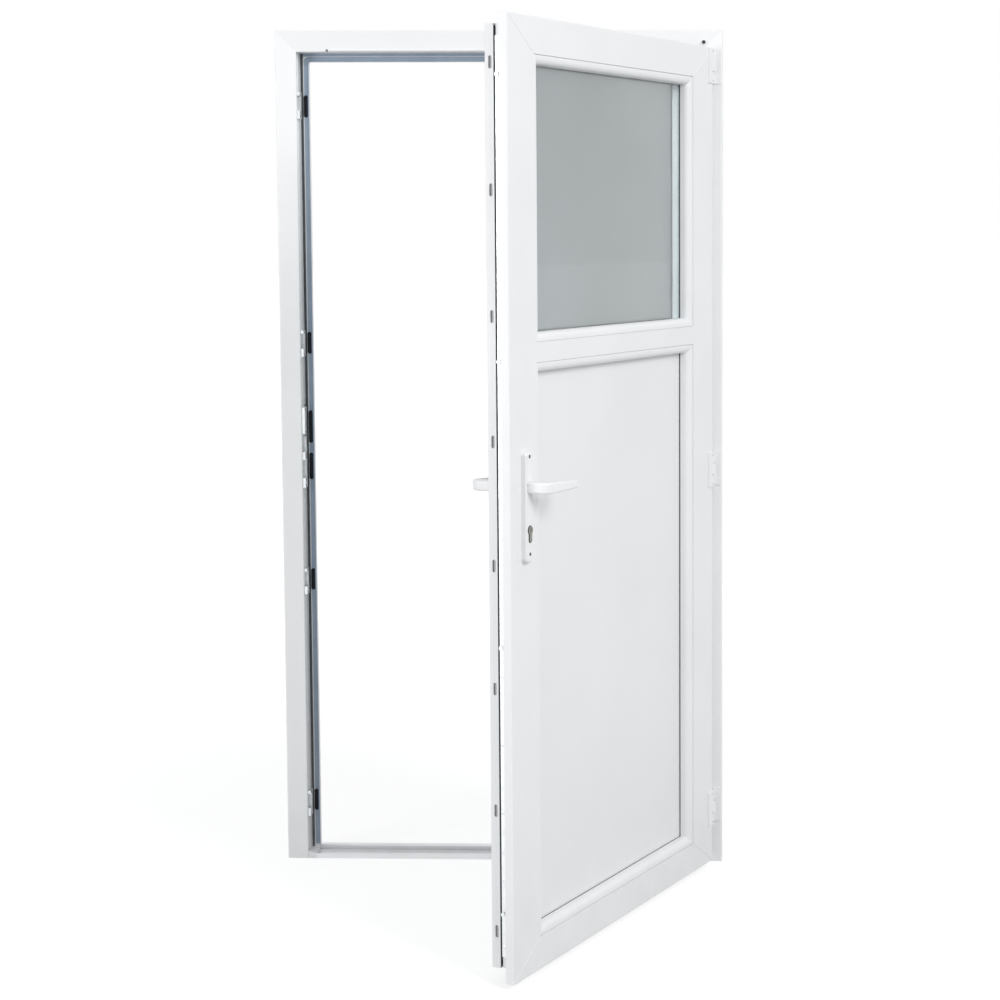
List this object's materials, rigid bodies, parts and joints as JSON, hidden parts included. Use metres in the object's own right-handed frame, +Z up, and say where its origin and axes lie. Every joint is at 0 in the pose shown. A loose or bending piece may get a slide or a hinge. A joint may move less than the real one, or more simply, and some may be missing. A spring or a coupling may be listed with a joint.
{
  "type": "exterior door",
  "caption": "White rebated side entrance door standing open in its frame, with a window over a solid panel, lever handles and a low metal threshold.",
  "frame": {"origin": "middle of the threshold's flat underside, halfway through the frame's depth", "axes": "+X along the wall towards the hinge side, +Y from the room side to the far side, +Z up"},
  "size_m": [1.05, 0.9808, 1.98],
  "materials": {
    "white_profile": "smooth satin-gloss white hollow plastic profile",
    "panel_skin": "smooth white plastic skin on a foam core",
    "white_metal": "white powder coat",
    "window_glass": "translucent grey-green pane",
    "spacer_metal": "satin folded aluminium spacer",
    "zinc_steel": "dull zinc-plated steel",
    "nickel_cylinder": "satin nickel",
    "sill_aluminium": "satin anodised aluminium",
    "rubber_seal": "dark soft seal"
  },
  "bodies": {
    "frame": {"lock_jamb": "white_profile", "hinge_jamb": "white_profile", "head": "white_profile", "threshold": "sill_aluminium", "threshold_ends": "white_profile", "jamb_gasket": "rubber_seal", "head_gasket": "rubber_seal", "roller_keeps": "zinc_steel", "lock_keep": "zinc_steel", "keep_pads": "rubber_seal", "upper_hinge_base": "white_metal", "upper_hinge_pin": "zinc_steel", "middle_hinge_base": "white_metal", "middle_hinge_pin": "zinc_steel", "lower_hinge_base": "white_metal", "lower_hinge_pin": "zinc_steel"},
    "leaf": {"bottom_rail": "white_profile", "dead_bolt": "zinc_steel", "door_panel": "panel_skin", "far_handle_plate": "white_metal", "glass_bead_bottom": "white_profile", "glass_bead_hinge": "white_profile", "glass_bead_lock": "white_profile", "glass_bead_top": "white_profile", "glass_far_pane": "window_glass", "glass_gasket": "rubber_seal", "glass_near_pane": "window_glass", "glass_spacer": "spacer_metal", "hinge_stile": "white_profile", "latch_bolt": "zinc_steel", "leaf_gasket": "rubber_seal", "lock_cylinder": "nickel_cylinder", "lock_stile": "white_profile", "lock_strip": "zinc_steel", "locking_rollers": "zinc_steel", "lower_hinge_arm": "white_metal", "middle_hinge_arm": "white_metal", "middle_rail": "white_profile", "near_handle_plate": "white_metal", "panel_bead_bottom": "white_profile", "panel_bead_hinge": "white_profile", "panel_bead_lock": "white_profile", "panel_bead_top": "white_profile", "panel_gasket": "rubber_seal", "top_rail": "white_profile", "upper_hinge_arm": "white_metal"},
    "lever_pair": {"near_lever": "white_metal", "far_lever": "white_metal", "handle_spindle": "zinc_steel"}
  },
  "joints": [
    {"name": "leaf_swing", "type": "hinge", "parent": "frame", "child": "leaf", "pos_m": [0.497, -0.044, 0.953], "axis": [0, 0, 1], "range_deg": [-67, 33]},
    {"name": "lever_turn", "type": "hinge", "parent": "leaf", "child": "lever_pair", "pos_m": [0.17502, -0.91004, 1.009], "axis": [-0.9205, 0.3907, 0], "range_deg": [0, 40], "stiffness_Nm_per_rad": 1}
  ]
}
